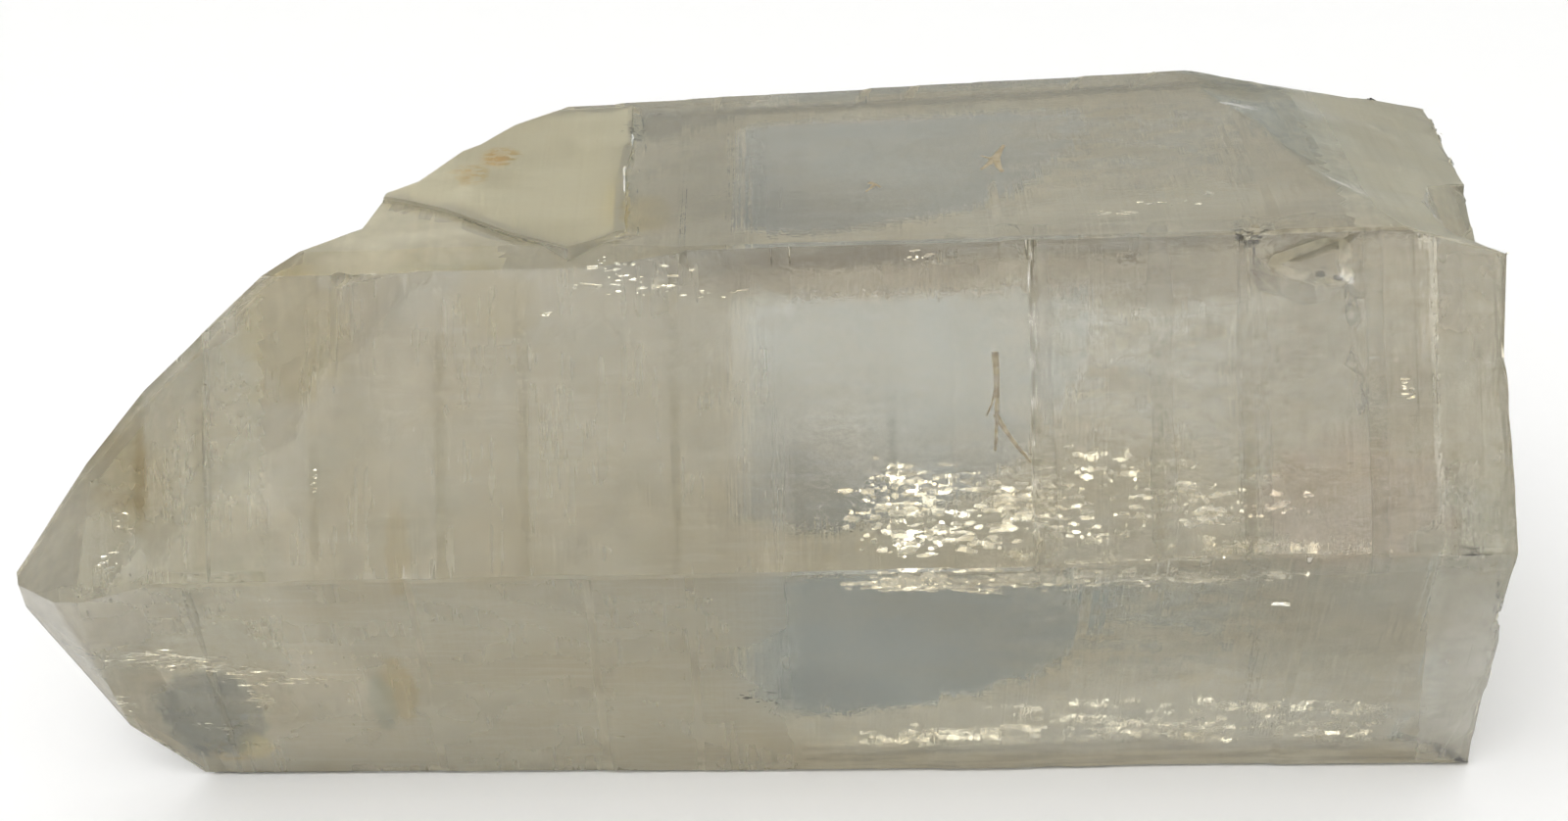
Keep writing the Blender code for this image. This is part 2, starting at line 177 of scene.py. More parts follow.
class Recipe:
    """A material's node tree, written as sums of values."""

    def __init__(self, name: str) -> None:
        """Starts an empty material of that name."""
        self.material = bpy.data.materials.new(name)
        self.material.use_nodes = True
        self.tree = self.material.node_tree
        self.tree.nodes.clear()
        self.output = self.node("ShaderNodeOutputMaterial")
        coords = self.node("ShaderNodeTexCoord").outputs["Object"]
        scaled = self.node("ShaderNodeVectorMath", {"operation": "SCALE"}, {0: coords, 3: 1.0 / MM})
        self.place = scaled.outputs[0]
        parts = self.node("ShaderNodeSeparateXYZ", {}, {0: self.place})
        self.x, self.y, self.z = (Value(self, parts.outputs[axis]) for axis in range(3))

    def node(
        self, kind: str, settings: dict | None = None, inputs: dict | None = None
    ) -> bpy.types.Node:
        """Adds a node.

        Args:
            kind: the node's type.
            settings: its properties, set before the sockets.
            inputs: a value or a link for each socket, by name or number.

        Returns:
            The new node.
        """
        made = self.tree.nodes.new(kind)
        for name, setting in (settings or {}).items():
            setattr(made, name, setting)
        for key, given in (inputs or {}).items():
            socket = made.inputs[key]
            if isinstance(given, Value):
                given = given.socket
            if isinstance(given, bpy.types.NodeSocket):
                self.tree.links.new(given, socket)
            elif socket.type == "RGBA":
                socket.default_value = (*given, 1.0)
            else:
                socket.default_value = given
        return made

    def _vector(self, operation: str, *terms: Anything) -> bpy.types.Node:
        """Adds a Vector Math node with its inputs in order."""
        return self.node("ShaderNodeVectorMath", {"operation": operation}, dict(enumerate(terms)))

    def stretched(self, scale: Triple, shift: float = 0.0) -> bpy.types.NodeSocket:
        """The place in mm, stretched and shifted, so that a pattern runs along an axis.

        Args:
            scale: repeats for each mm along X, Y and Z.
            shift: how far the pattern is moved, which makes it another pattern.

        Returns:
            The stretched place.
        """
        offset = tuple(shift * step for step in PATTERN_STEP)
        return self._vector("MULTIPLY_ADD", self.place, scale, offset).outputs[0]

    def noise(self, pattern: Pattern) -> Value:
        """A pattern's soft noise, between about 0.3 and 0.7."""
        inputs = {0: self.stretched(pattern.scale, pattern.shift), 2: 1.0, 3: pattern.detail}
        made = self.node("ShaderNodeTexNoise", {"noise_dimensions": "3D"}, inputs)
        return Value(self, made.outputs[0])

    def cells(self, scale: Triple) -> Value:
        """Blocks of one random value each, at so many for each mm along each axis."""
        settings = {"voronoi_dimensions": "3D", "feature": "F1", "distance": "CHEBYCHEV"}
        made = self.node("ShaderNodeTexVoronoi", settings, {0: self.stretched(scale), 2: 1.0})
        parts = self.node("ShaderNodeSeparateXYZ", {}, {0: made.outputs["Color"]})
        return Value(self, parts.outputs[0])

    def beyond(self, facing: Vector, off: float) -> Value:
        """How far the place is past a plane, in mm.

        Args:
            facing: the plane's unit normal.
            off: the plane's distance from the origin along it, in mm.

        Returns:
            The signed distance.
        """
        dot = self._vector("DOT_PRODUCT", self.place, tuple(facing))
        return Value(self, dot.outputs["Value"]) - off

    def facing(self, direction: Vector) -> Value:
        """How squarely the surface lies across a direction, the same from inside and outside."""
        normal = self.node("ShaderNodeNewGeometry").outputs["True Normal"]
        dot = self._vector("DOT_PRODUCT", normal, tuple(direction))
        return abs(Value(self, dot.outputs["Value"]))

    def patch(self, patch: "Patch", ragged: Value | None = None) -> Value:
        """A mask that is 1 inside a soft-edged ellipsoid patch and 0 outside it.

        Args:
            patch: its middle, reach and edge.
            ragged: noise that breaks up its edge.

        Returns:
            The mask.
        """
        scale = tuple(1.0 / reach for reach in patch.reach)
        offset = tuple(-middle / reach for middle, reach in zip(patch.middle, patch.reach))
        moved = self._vector("MULTIPLY_ADD", self.place, scale, offset)
        far = Value(self, self._vector("LENGTH", moved.outputs[0]).outputs["Value"])
        if ragged is not None:
            far = far + (ragged - 0.5) * patch.raggedness
        return far.rise(1.0 + patch.edge, 1.0 - patch.edge)

    def blend(self, share: Number, start: Anything, end: Anything) -> bpy.types.NodeSocket:
        """A colour that goes from start to end as share goes from 0 to 1."""
        settings = {"data_type": "RGBA", "clamp_factor": True}
        return self.node("ShaderNodeMix", settings, {0: share, 6: start, 7: end}).outputs[2]

    def bump(self, height: Value, depth: float) -> bpy.types.NodeSocket:
        """A normal from a height of 0 to 1, with its full depth in mm."""
        inputs = {"Strength": 1.0, "Distance": depth * MM, "Height": height}
        return self.node("ShaderNodeBump", {}, inputs).outputs[0]

    def shade(self, **sockets: Anything) -> None:
        """Adds the Principled shader, linked to the output.

        Args:
            sockets: its inputs, with spaces in their names written as underscores.
        """
        inputs = {name.replace("_", " "): given for name, given in sockets.items()}
        made = self.node("ShaderNodeBsdfPrincipled", {}, inputs)
        self.tree.links.new(made.outputs[0], self.output.inputs["Surface"])


@dataclass(frozen=True)
class Patch:
    """A soft patch on or in the crystal: its middle and reach in mm, and how soft its edge is."""

    middle: Triple
    reach: Triple
    edge: float = 0.3
    raggedness: float = 1.0


@dataclass(frozen=True)
class Window:
    """The glassy part of an etched face: a patch cut off at one end and at its top, worn beside it."""

    patch: Patch
    worn: Patch
    start: float
    top: float
    fading: tuple[float, float] = (14.0, 24.0)

    def mask(self, recipe: Recipe, ragged: Value) -> Value:
        """A mask that is 1 inside the window, less where it is worn and 0 outside it.

        Args:
            recipe: the recipe that the mask is part of.
            ragged: noise that breaks up its edges.

        Returns:
            The mask.
        """
        frayed = ragged * 1.6 - 0.8
        start = (recipe.x + frayed).rise(self.start - 0.4, self.start + 0.3)
        top = (recipe.z + frayed * 1.5).rise(self.top + 0.9, self.top - 0.6)
        flecked = recipe.noise(Pattern((0.35, 0.9, 0.9), 3.0, 8.0)).rise(0.44, 0.60)
        fading = 1 - flecked * recipe.x.rise(*self.fading) * 0.4
        clear = recipe.patch(self.patch, ragged) * start * fading
        worn = recipe.patch(self.worn, ragged) * (1 - flecked) * 0.6
        return clear.or_more(worn) * top


# Directions that some broken, raised or end faces look in, and where they start and stop, in mm.
TOP_LEAN = Vector((-0.02679, 0.0, 0.99964))
TOP_HEIGHT = 41.80
PLATE_RISER = (0.0, 0.2)
PLATE_END = (-6.0, -7.5)
BASE_LEAN = Vector((1.0, 0.0, 0.0))
BASE_START = (42.0, 44.0)
BREAK_SLOPE = Vector((0.35, 0.15, 0.92))
SLOPE_START = (37.0, 42.0)
SLOPE_FOOT = (34.0, 36.0)
END_LEAN = Vector((-0.6, 0.8, 0.0))
END_STOP = (3.0, 0.0)
BACK_START = (-1.0, 2.0)
# Where along X the painted shade on the lower back face starts.
PAINTED_SHADE_START = (-2.6, -1.4)
TIP_SLANT = Vector((-0.786, 0.535, 0.309))
CLEAR_NOSE = Patch((-41.5, -17.5, 11.0), (9.5, 8.0, 8.5), edge=0.3, raggedness=0.8)
WINDOW = Window(
    Patch((5.0, 17.0, 17.5), (20.0, 40.0, 13.5), edge=0.03, raggedness=0.22),
    Patch((28.0, 17.0, 15.0), (10.0, 40.0, 6.0), edge=0.4, raggedness=1.0),
    start=-1.9,
    top=18.6,
)


@dataclass(frozen=True)
class Mark:
    """A coloured patch on the surface: a stain, a cloud, a swarm of specks, or a patch of painted shade or
    painted light.
    """

    patch: Patch
    shade: Colour
    strength: float = 0.7
    grain: tuple[float, float] | None = None


# --------------------------------------------------------------------------- finishes


class Finish:
    """A finish that makes one material, under its own name."""

    name: str

    def build(self) -> bpy.types.Material:
        """Builds the material and returns it."""
        recipe = Recipe(self.name)
        self.mix(recipe)
        return recipe.material

    def mix(self, recipe: Recipe) -> None:
        """Writes the finish's nodes into an empty recipe."""
        raise NotImplementedError


@dataclass(frozen=True)
class ClearQuartz(Finish):
    """Clear to milky quartz: glassy striated prism faces, frosted breaks, thin stains, and painted shade
    and painted light in patches and on the lower back face.
    """

    name: str = "clear_quartz"
    tint: Colour = (0.74, 0.69, 0.56)
    pale: Colour = (0.80, 0.77, 0.66)
    warm: Colour = (0.68, 0.60, 0.44)
    cool: Colour = (0.66, 0.68, 0.62)
    bright: Colour = (0.90, 0.88, 0.80)
    # The dark colour of the painted shade on the lower back face.
    painted_shade: Colour = (0.225, 0.25, 0.25)
    matte: Colour = (0.80, 0.77, 0.64)
    clearness: float = 0.88
    bending: float = 1.544
    gloss: float = 0.05
    frost: float = 0.45
    absorbed: Colour = (0.60, 0.58, 0.48)
    absorption: float = 11.0
    face_bump: float = 0.03

    def mix(self, recipe: Recipe) -> None:
        """Mixes stains, milk, painted shade and painted light into the glassy faces, frosts the breaks and
        tints the inside.
        """
        drift = recipe.noise(Pattern((0.07, 0.10, 0.10), shift=1.0))
        ragged = recipe.noise(Pattern((0.5, 0.7, 0.7), 3.0, 2.0))
        striae = recipe.noise(Pattern((2.2, 0.05, 0.05), shift=3.0))
        swell = recipe.noise(Pattern((0.22, 0.30, 0.30), 1.0, 5.0))
        grain = recipe.noise(Pattern((2.6, 2.6, 2.6), shift=6.0))
        speckle = recipe.noise(Pattern((1.3, 2.2, 2.2), shift=7.0))
        streaks = recipe.noise(Pattern((0.16, 2.2, 2.2), shift=9.0))

        matte = self._plate(recipe).or_more(self._broken(recipe))
        window = WINDOW.mask(recipe, ragged)
        etched = self._etched(recipe, window, ragged)
        frosted = matte.or_more(etched * (0.55 + swell.rise(0.35, 0.65) * 0.45))
        # Painted shade: the lower back face is darkened in colour, most in its glassy window, to stand in
        # for the shade seen through it.
        painted_shade = self._low_back(recipe) * recipe.x.rise(*PAINTED_SHADE_START) * (0.3 + window * 0.7)

        colour = self.tint
        for share, shade in (
            (drift.rise(0.35, 0.68), self.pale),
            (swell.rise(0.62, 0.35) * 0.35, self.cool),
            (drift.rise(0.55, 0.30) * 0.5, self.warm),
            (streaks.rise(0.50, 0.68) * 0.35, self.bright),
            (speckle.rise(0.52, 0.36) * 0.22, self.warm),
            (painted_shade, self.painted_shade),
            (matte * 0.8, self.matte),
        ):
            colour = recipe.blend(share, colour, shade)
        # Most marks are stains and specks; a few are painted shade and painted light.
        for mark in MARKS:
            share = recipe.patch(mark.patch, ragged) * mark.strength
            if mark.grain is not None:
                share = share * speckle.rise(*mark.grain)
            colour = recipe.blend(share, colour, mark.shade)

        recipe.shade(
            Base_Color=colour,
            Roughness=self.gloss + striae.rise(0.45, 0.75) * 0.07 + frosted * self.frost,
            IOR=self.bending,
            Transmission_Weight=self.clearness,
            Normal=recipe.bump(striae * 0.7 + grain * 0.3, self.face_bump),
        )
        inside = recipe.node(
            "ShaderNodeVolumeAbsorption", {}, {"Color": self.absorbed, "Density": self.absorption}
        )
        recipe.tree.links.new(inside.outputs[0], recipe.output.inputs["Volume"])

    def _plate(self, recipe: Recipe) -> Value:
        """The raised matte plate on the top face, told by its height over that face."""
        return recipe.beyond(TOP_LEAN, TOP_HEIGHT).rise(*PLATE_RISER) * recipe.x.rise(*PLATE_END)

    def _broken(self, recipe: Recipe) -> Value:
        """The broken base and the sloping break above it, told by where they face."""
        base = recipe.facing(BASE_LEAN).rise(0.75, 0.92) * recipe.x.rise(*BASE_START)
        slope = recipe.facing(BREAK_SLOPE).rise(0.86, 0.95) * recipe.x.rise(*SLOPE_START)
        return base.or_more(slope * recipe.z.rise(*SLOPE_FOOT) * 0.8)

    def _low_back(self, recipe: Recipe) -> Value:
        """The lower back face, told from the front face that lies across from it."""
        return recipe.facing(Face.LOWER_BACK.outward).rise(0.90, 0.97) * recipe.y.rise(*BACK_START)

    def _etched(self, recipe: Recipe, window: Value, ragged: Value) -> Value:
        """The etched faces at the back: the ends, and the lower back face round its glassy window."""
        ends = recipe.facing(END_LEAN).rise(0.60, 0.75) * recipe.x.rise(*END_STOP)
        frosted = ends * (1 - recipe.patch(CLEAR_NOSE, ragged))
        return (self._low_back(recipe) * (1 - window)).or_more(frosted)


RUST = (0.30, 0.19, 0.06)
OCHRE = (0.66, 0.50, 0.20)
STRAW = (0.72, 0.62, 0.36)
SOOT = (0.02, 0.02, 0.02)
MILK = (0.95, 0.94, 0.88)
ROSE = (0.72, 0.55, 0.44)
UMBER = (0.42, 0.36, 0.26)
FERN = (0.36, 0.42, 0.36)
PAINTED_SHADE_SLATE = (0.42, 0.46, 0.47)
PAINTED_SHADE_STEEL = (0.22, 0.26, 0.27)
SHADOW = (0.12, 0.14, 0.14)
PAINTED_LIGHT_CHALK = (1.0, 0.98, 0.92)
PAINTED_SHADE_PEWTER = (0.32, 0.36, 0.36)
PAINTED_SHADE_SAND = (0.62, 0.58, 0.48)
PAINTED_SHADE_KHAKI = (0.46, 0.43, 0.34)
AMBER = (0.86, 0.60, 0.22)
HONEY = (0.80, 0.60, 0.26)
MARKS = (
    Mark(Patch((-40.9, -20.0, 28.8), (0.5, 3.0, 3.0), edge=0.5), RUST, 0.55),
    Mark(Patch((-42.4, -20.0, 26.9), (2.0, 2.0, 0.45), edge=0.6), RUST, 0.55),
    Mark(Patch((-41.6, -20.0, 28.0), (2.6, 3.0, 3.2), edge=0.8), OCHRE, 0.35),
    Mark(Patch((-30.7, -15.3, 36.5), (3.6, 4.0, 4.6)), STRAW, 0.6),
    Mark(Patch((-17.5, -15.2, 38.4), (2.6, 3.0, 2.2)), STRAW, 0.5),
    Mark(Patch((-18.2, 1.9, 41.6), (1.3, 1.6, 1.0)), OCHRE, 0.8, (0.46, 0.54)),
    Mark(Patch((-20.1, -1.1, 41.6), (1.4, 1.8, 1.0)), OCHRE, 0.7, (0.46, 0.54)),
    Mark(Patch((-7.8, -8.5, 41.5), (1.6, 3.0, 1.0)), STRAW, 0.9),
    Mark(Patch((-24.1, -23.0, 24.6), (0.8, 2.0, 3.0)), OCHRE, 0.35),
    Mark(Patch((-25.6, -17.3, 10.4), (1.2, 3.0, 4.6)), OCHRE, 0.55),
    Mark(Patch((-38.0, -13.3, 3.0), (2.0, 3.0, 1.4)), OCHRE, 0.6, (0.42, 0.56)),
    Mark(Patch((-26.9, -16.5, 9.0), (0.9, 3.0, 3.4)), FERN, 0.6),
    Mark(Patch((-0.6, -17.5, 9.2), (1.5, 2.0, 1.0)), SOOT, 0.95, (0.565, 0.60)),
    Mark(Patch((23.0, -16.0, 41.0), (1.6, 2.0, 0.5)), SOOT, 0.85, (0.55, 0.60)),
    Mark(Patch((31.3, -15.3, 42.2), (1.5, 1.2, 0.6)), SOOT, 0.8, (0.53, 0.58)),
    Mark(Patch((36.6, -17.2, 40.1), (1.3, 1.2, 0.5)), SOOT, 0.8, (0.53, 0.58)),
    Mark(Patch((-9.0, 6.0, 41.8), (0.9, 1.8, 0.8)), SOOT, 0.7, (0.54, 0.60)),
    Mark(Patch((35.5, -21.0, 33.0), (6.5, 4.0, 4.2)), RUST, 0.14),
    Mark(Patch((37.0, -24.6, 27.4), (6.0, 4.0, 4.0)), ROSE, 0.5),
    Mark(Patch((6.0, -15.6, 40.2), (10.0, 2.0, 1.6)), (0.42, 0.34, 0.23), 0.6),
    Mark(Patch((25.0, -16.2, 39.8), (8.5, 2.0, 2.2)), UMBER, 0.6),
    Mark(Patch((-46.0, -17.0, 21.0), (5.5, 8.0, 6.0), edge=0.7), (1.0, 0.97, 0.90), 0.9),
    Mark(Patch((-25.0, -6.0, 40.5), (5.5, 7.0, 3.5), edge=0.5), (1.0, 0.97, 0.84), 0.95),
    # Painted shade: a slate-blue patch on the top face.
    Mark(Patch((-3.5, -5.0, 42.0), (4.0, 7.5, 1.5), edge=0.8), PAINTED_SHADE_SLATE, 0.5),
    Mark(Patch((3.4, 15.8, 6.2), (5.2, 5.0, 3.6), edge=0.3), SHADOW, 0.8),
    # Painted shade: a dark blue-grey patch low on the front of the point.
    Mark(Patch((-39.2, -16.5, 7.2), (3.3, 6.0, 5.0), edge=0.15, raggedness=1.3), PAINTED_SHADE_STEEL, 0.3),
    Mark(Patch((-36.6, -14.0, 3.6), (1.2, 3.0, 1.6), edge=0.3), (0.85, 0.74, 0.42), 0.8),
    Mark(Patch((47.0, -20.0, 9.0), (4.5, 9.0, 10.0), edge=0.5), (1.0, 0.99, 0.95), 0.9),
    # Painted light: a near-white patch low on the lower front face, near the floor.
    Mark(Patch((30.0, -21.0, 4.0), (18.0, 7.0, 7.0), edge=0.6), PAINTED_LIGHT_CHALK, 0.9),
    Mark(Patch((-41.4, -22.2, 23.8), (0.9, 1.6, 1.6)), MILK, 0.9),
)


# Painted shade and light on the back film: a darkened patch at the point, a darker patch at the back near
# the base, a lightened patch low at the back and a darker strip along the back ridge.
BACK_PAINTED_SHADING = (
    Mark(Patch((-39.5, -8.5, 7.0), (3.6, 6.0, 5.0), edge=0.15, raggedness=0.5), PAINTED_SHADE_PEWTER, 0.95),
    Mark(Patch((36.0, 18.0, 16.0), (13.0, 10.0, 7.0), edge=0.5), PAINTED_SHADE_SAND, 0.55),
    Mark(Patch((25.0, 11.0, 3.0), (28.0, 9.0, 4.5), edge=0.4), (1.0, 0.99, 0.94), 0.9),
    Mark(Patch((0.0, 24.0, 24.4), (80.0, 7.0, 3.6), edge=0.2, raggedness=0.3), PAINTED_SHADE_KHAKI, 0.9),
)
PLATE_STAINS = (
    Mark(Patch((-18.4, 1.9, 41.8), (0.9, 1.4, 1.5), edge=0.5, raggedness=2.0), AMBER, 0.9),
    Mark(Patch((-20.2, -1.1, 41.6), (0.6, 1.6, 1.5), edge=0.5, raggedness=2.0), HONEY, 0.7),
    Mark(Patch((-9.2, -7.0, 41.8), (1.3, 4.2, 1.5), edge=0.6, raggedness=1.5), (0.84, 0.72, 0.34), 0.8),
)


@dataclass(frozen=True)
class HealedVeil(Finish):
    """A healed crack or etched film: a milky layer that comes and goes over its sheet, with any stains and
    painted shade and light it is given laid over it in patches.
    """

    name: str
    milk: Colour = (0.95, 0.90, 0.76)
    shade: Colour = (0.88, 0.81, 0.64)
    thinnest: float = 0.2
    thickest: float = 0.8
    scale: Triple = (0.12, 0.18, 0.18)
    window: Window | None = None
    # Stains, painted shade and painted light laid over the film in patches.
    stains_and_painted_shading: tuple[Mark, ...] = ()
    blocks: Patch | None = None
    block_white: Colour = (1.0, 0.99, 0.93)
    wrinkle: float = 0.04

    def mix(self, recipe: Recipe) -> None:
        """Mixes a milky sheet whose cover follows clouds, specks and striae."""
        clouds = recipe.noise(Pattern(self.scale, 3.0, 11.0))
        specks = recipe.noise(Pattern((1.4, 1.0, 1.0), 3.0, 12.0))
        striae = recipe.noise(Pattern((2.0, 0.06, 0.06), shift=13.0))
        fine = specks.rise(0.35, 0.7) + striae.rise(0.35, 0.7)
        cover = clouds.rise(0.30, 0.60) * 0.7 + fine * 0.15
        thickness = self.thinnest + cover * (self.thickest - self.thinnest)
        if self.window is not None:
            thickness = thickness * (1 - self.window.mask(recipe, specks))
        colour = recipe.blend(clouds.rise(0.35, 0.65), self.shade, self.milk)
        # Stains and patches of painted shade and light blend into the film's colour here.
        for tone in self.stains_and_painted_shading:
            colour = recipe.blend(recipe.patch(tone.patch, specks) * tone.strength, colour, tone.shade)
        if self.blocks is not None:
            parquet = recipe.cells((0.9, 2.6, 2.6)).rise(0.30, 0.80)
            share = recipe.patch(self.blocks, specks) * parquet * clouds.rise(0.38, 0.55)
            colour = recipe.blend(share * 0.9, colour, self.block_white)
        recipe.shade(
            Base_Color=colour,
            Roughness=0.5 + specks * 0.2,
            Alpha=thickness,
            Normal=recipe.bump(specks + striae, self.wrinkle),
        )


@dataclass(frozen=True)
class FractureMirror(Finish):
    """The gas film of a small inner fracture, which mirrors light with a creamy cast."""

    name: str = "fracture_mirror"
    bright: Colour = (1.0, 1.0, 0.96)
    dull: Colour = (0.90, 0.87, 0.78)

    def mix(self, recipe: Recipe) -> None:
        """Mixes a rippled mirror whose brightness and gloss drift from flake to flake."""
        spread = recipe.noise(Pattern((1.2, 1.8, 1.8), shift=21.0))
        ripple = recipe.noise(Pattern((4.0, 6.0, 6.0), shift=22.0))
        recipe.shade(
            Base_Color=recipe.blend(spread.rise(0.35, 0.65), self.dull, self.bright),
            Metallic=0.85,
            Roughness=0.05 + spread * 0.10,
            Normal=recipe.bump(ripple, 0.01),
        )


@dataclass(frozen=True)
class IronNeedle(Finish):
    """A brown hair-thin mineral needle, darker along its length here and there."""

    name: str = "iron_needle"
    light: Colour = (0.55, 0.45, 0.24)
    dark: Colour = (0.34, 0.25, 0.11)

    def mix(self, recipe: Recipe) -> None:
        """Mixes bands of the light and the dark brown."""
        bands = recipe.noise(Pattern((1.5, 1.5, 1.5), 3.0, 31.0))
        recipe.shade(
            Base_Color=recipe.blend(bands.rise(0.4, 0.6), self.dark, self.light),
            Roughness=0.45 + bands * 0.2,
            Normal=recipe.bump(bands, 0.02),
        )


@dataclass(frozen=True)
class PaleFloor(Finish):
    """A plain pale studio floor with a faint paper grain."""

    name: str = "pale_floor"
    paper: Colour = (0.95, 0.955, 0.975)
    fleck: Colour = (0.94, 0.945, 0.965)

    def mix(self, recipe: Recipe) -> None:
        """Mixes the paper with its flecks."""
        grain = recipe.noise(Pattern((0.8, 0.8, 0.8), 3.0, 41.0))
        recipe.shade(
            Base_Color=recipe.blend(grain, self.fleck, self.paper),
            Roughness=0.75 + grain * 0.1,
        )


# --------------------------------------------------------------------------- hand tools


def only(piece: bpy.types.Object) -> None:
    """Leaves that piece alone selected and active, in object mode."""
    if bpy.context.object and bpy.context.object.mode != "OBJECT":
        bpy.ops.object.mode_set(mode="OBJECT")
    bpy.ops.object.select_all(action="DESELECT")
    piece.select_set(True)
    bpy.context.view_layer.objects.active = piece


def pick(piece: bpy.types.Object, kind: str, wanted: Callable[..., bool]) -> int:
    """Selects the edges, faces or verts for which wanted is true, in edit mode.

    Args:
        piece: the piece in edit mode.
        kind: verts, edges or faces.
        wanted: tells which ones are selected.

    Returns:
        How many are selected.
    """
    bpy.ops.mesh.select_all(action="DESELECT")
    shape = bmesh.from_edit_mesh(piece.data)
    shape.normal_update()
    chosen = [part for part in getattr(shape, kind) if wanted(part)]
    for part in chosen:
        part.select_set(True)
    shape.select_flush_mode()
    bmesh.update_edit_mesh(piece.data)
    return len(chosen)


def settle(piece: bpy.types.Object) -> None:
    """Applies the piece's place to its mesh, so that its object sits at the origin, unturned."""
    only(piece)
    bpy.ops.object.transform_apply(location=True, rotation=True, scale=True)


def apply_all(piece: bpy.types.Object) -> None:
    """Applies the piece's modifiers in order."""
    only(piece)
    for modifier in list(piece.modifiers):
        bpy.ops.object.modifier_apply(modifier=modifier.name)


def relief(
    piece: bpy.types.Object, name: str, kind: str, size: float, depth: float, group: str = ""
) -> None:
    """Lowers a piece's surface by a cloudy relief that never stands proud of it.

    Args:
        piece: the piece.
        name: the relief's name.
        kind: Blender's texture type.
        size: the relief's grain, in mm.
        depth: its greatest depth, in mm.
        group: the vertex group it keeps to.
    """
    texture = bpy.data.textures.new(name, kind)
    texture.noise_scale = size * MM
    modifier = piece.modifiers.new(name, "DISPLACE")
    modifier.texture = texture
    modifier.texture_coords = "LOCAL"
    modifier.mid_level = 1.0
    modifier.strength = depth * MM
    modifier.vertex_group = group


def weigh(piece: bpy.types.Object, name: str, weight: Callable[[Vector, Vector], float]) -> None:
    """Gives a piece a vertex group.

    Args:
        piece: the piece.
        name: the group's name.
        weight: the weight at a place in mm with its outward direction.
    """
    group = piece.vertex_groups.new(name=name)
    for vertex in piece.data.vertices:
        group.add([vertex.index], weight(vertex.co / MM, vertex.normal), "REPLACE")


def ramp(value: float, low: float, high: float) -> float:
    """A straight step from 0 at low to 1 at high."""
    return min(max((value - low) / (high - low), 0.0), 1.0)


@dataclass
class Piece:
    """One visible piece: its name and, once it is built, its object."""

    name: str
    piece: bpy.types.Object | None = field(default=None, init=False)

    def build(self) -> None:
        """Builds the piece's mesh."""
        raise NotImplementedError

    def dress(self, finish: Finish) -> None:
        """Gives the piece its material and its body."""
        self.piece.data.materials.clear()
        self.piece.data.materials.append(finish.build())
        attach(self.piece, "root")

    def _copy(self, mesh: bpy.types.Mesh) -> None:
        """Starts the piece from a copy of a mesh, selected and active."""
        self.piece = bpy.data.objects.new(self.name, mesh.copy())
        bpy.context.scene.collection.objects.link(self.piece)
        only(self.piece)


# --------------------------------------------------------------------------- the crystal


